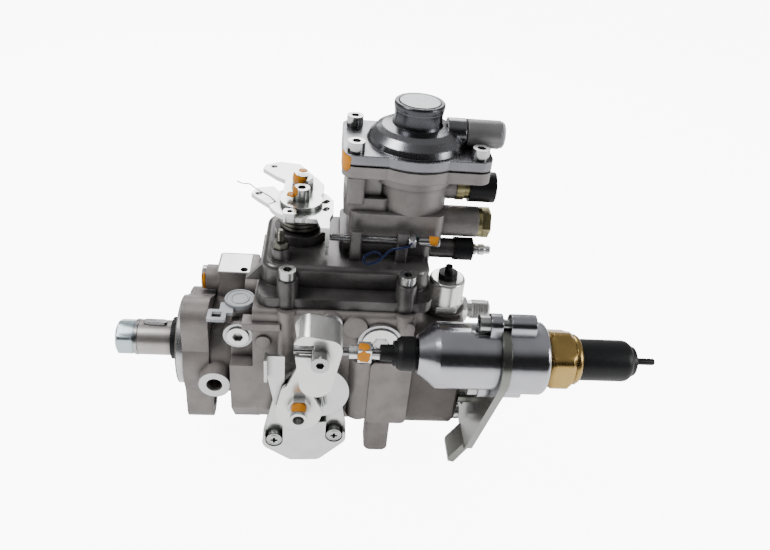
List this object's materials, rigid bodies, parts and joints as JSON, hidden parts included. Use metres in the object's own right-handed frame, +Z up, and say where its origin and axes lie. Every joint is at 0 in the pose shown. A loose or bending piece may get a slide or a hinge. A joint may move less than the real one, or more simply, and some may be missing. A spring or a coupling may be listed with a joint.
{
  "type": "rotary diesel injection pump",
  "caption": "Rotary distributor diesel injection pump with keyed drive shaft, triangular flange, throttle lever, boost compensator and heated cold-start actuator.",
  "frame": {"origin": "centre of the mounting face of the flange, on the drive shaft's axis", "axes": "+X along the drive shaft from the engine's side into the pump, +Z up to the boost compensator, +Y away from the cold-start lever side"},
  "size_m": [0.278, 0.1305, 0.201],
  "materials": {
    "cast_grey": "as cast, fine grain",
    "cast_dark": "as cast, darker",
    "cast_polished": "die cast, smooth",
    "head_steel": "dark phosphated steel",
    "steel": "machined",
    "zinc": "bright zinc plated",
    "yellow_zinc": "yellow passivated zinc",
    "brass": "machined brass",
    "bronze": "bearing bronze",
    "black_plastic": "matt black",
    "black_rubber": "soft matt",
    "clear_plastic": "milky clear cap",
    "white_plastic": "pale disc",
    "spring_steel": "drawn wire"
  },
  "bodies": {
    "pump": {"actuator_bracket": "zinc", "actuator_front": "cast_polished", "actuator_rear": "cast_polished", "adjusting_screws": "zinc", "bearing_bush": "bronze", "boost_cap": "white_plastic", "boost_cover": "cast_polished", "boost_diaphragm": "black_rubber", "boost_fittings": "yellow_zinc", "boost_hose_nipple": "cast_dark", "boost_housing": "cast_grey", "cold_start_cover": "zinc", "delivery_valve_holders": "zinc", "distributor_head": "head_steel", "feed_pump_ring": "steel", "governor_cover": "cast_dark", "governor_pins": "steel", "head_screws": "zinc", "inlet_port_cap": "clear_plastic", "plugs": "zinc", "protective_caps": "black_plastic", "pump_housing": "cast_grey", "regulating_valve": "steel", "rod_boot": "black_rubber", "shaft_seal": "black_rubber", "shutoff_solenoid": "zinc", "small_screws": "zinc", "springs": "spring_steel", "stop_disc": "zinc", "terminal_cap": "black_plastic", "timing_cover": "cast_grey", "wax_element": "brass"},
    "drive": {"drive_shaft": "steel", "drive_fasteners": "zinc", "feed_pump_rotor": "steel", "feed_pump_vanes": "steel", "drive_gear": "steel", "cam_plate": "steel", "distributor_plunger": "steel"},
    "governor": {"governor_cage": "steel", "flyweights": "steel"},
    "sleeve": {"governor_sleeve": "steel"},
    "lever": {"governor_lever": "steel"},
    "spool": {"control_spool": "steel"},
    "timing": {"timing_piston": "steel"},
    "ring": {"roller_ring": "steel", "rollers": "steel"},
    "throttle": {"throttle_shaft": "steel", "throttle_lever": "zinc", "throttle_fasteners": "zinc"},
    "cold_lever": {"cold_start_shaft": "steel", "cold_start_lever": "zinc", "cold_start_nut": "zinc", "rod_clamp": "zinc"},
    "rod": {"actuator_rod": "steel", "rod_fittings": "zinc"},
    "boost": {"boost_pin": "steel", "boost_spring": "spring_steel"},
    "solenoid": {"solenoid_plunger": "steel"}
  },
  "joints": [
    {"name": "drive_spin", "type": "hinge", "parent": "pump", "child": "drive", "pos_m": [0, 0, 0], "axis": [1, 0, 0], "continuous": true},
    {"name": "governor_spin", "type": "hinge", "parent": "pump", "child": "governor", "pos_m": [0.06, 0, 0.038], "axis": [1, 0, 0], "continuous": true},
    {"name": "governor_lever_tilt", "type": "hinge", "parent": "pump", "child": "lever", "pos_m": [0.0965, 0, 0.024], "axis": [0, 1, 0], "range_deg": [0, 6], "stiffness_Nm_per_rad": 0.5, "springref_deg": -5.73},
    {"name": "sleeve_slide", "type": "slide", "parent": "pump", "child": "sleeve", "axis": [1, 0, 0], "range_m": [0, 0.00146]},
    {"name": "spool_slide", "type": "slide", "parent": "pump", "child": "spool", "axis": [1, 0, 0], "range_m": [-0.0017, 0]},
    {"name": "timing_slide", "type": "slide", "parent": "pump", "child": "timing", "axis": [0, 1, 0], "range_m": [0, 0.006], "stiffness_N_per_m": 2000, "springref_m": -0.002},
    {"name": "ring_turn", "type": "hinge", "parent": "pump", "child": "ring", "pos_m": [0.066, 0, 0], "axis": [1, 0, 0], "range_deg": [0, 8.8]},
    {"name": "throttle_turn", "type": "hinge", "parent": "pump", "child": "throttle", "pos_m": [0.0595, 0.007, 0.086], "axis": [0, 0, -1], "range_deg": [0, 37], "stiffness_Nm_per_rad": 0.3, "springref_deg": -22.92},
    {"name": "cold_start_turn", "type": "hinge", "parent": "pump", "child": "cold_lever", "pos_m": [0.063, -0.05, 0], "axis": [0, 1, 0], "range_deg": [-2, 4], "stiffness_Nm_per_rad": 4},
    {"name": "rod_slide", "type": "slide", "parent": "pump", "child": "rod", "axis": [1, 0, 0], "range_m": [-0.0016, 0.0032]},
    {"name": "boost_stroke", "type": "slide", "parent": "pump", "child": "boost", "axis": [0, 0, -1], "range_m": [0, 0.005], "stiffness_N_per_m": 3000, "springref_m": -0.002, "deforming": ["boost_spring"]},
    {"name": "solenoid_lift", "type": "slide", "parent": "pump", "child": "solenoid", "axis": [0, 0, 1], "range_m": [0, 0.0015], "stiffness_N_per_m": 300, "springref_m": -0.003}
  ],
  "couplings": [
    {"joint": "governor_spin", "follows": "drive_spin", "ratio": -1.6},
    {"joint": "governor_lever_tilt", "follows": "sleeve_slide", "rad_per_m": 71.43},
    {"joint": "spool_slide", "follows": "sleeve_slide", "ratio": -1.1071},
    {"joint": "ring_turn", "follows": "timing_slide", "rad_per_m": 25.3},
    {"joint": "cold_start_turn", "follows": "rod_slide", "rad_per_m": 21.74}
  ]
}
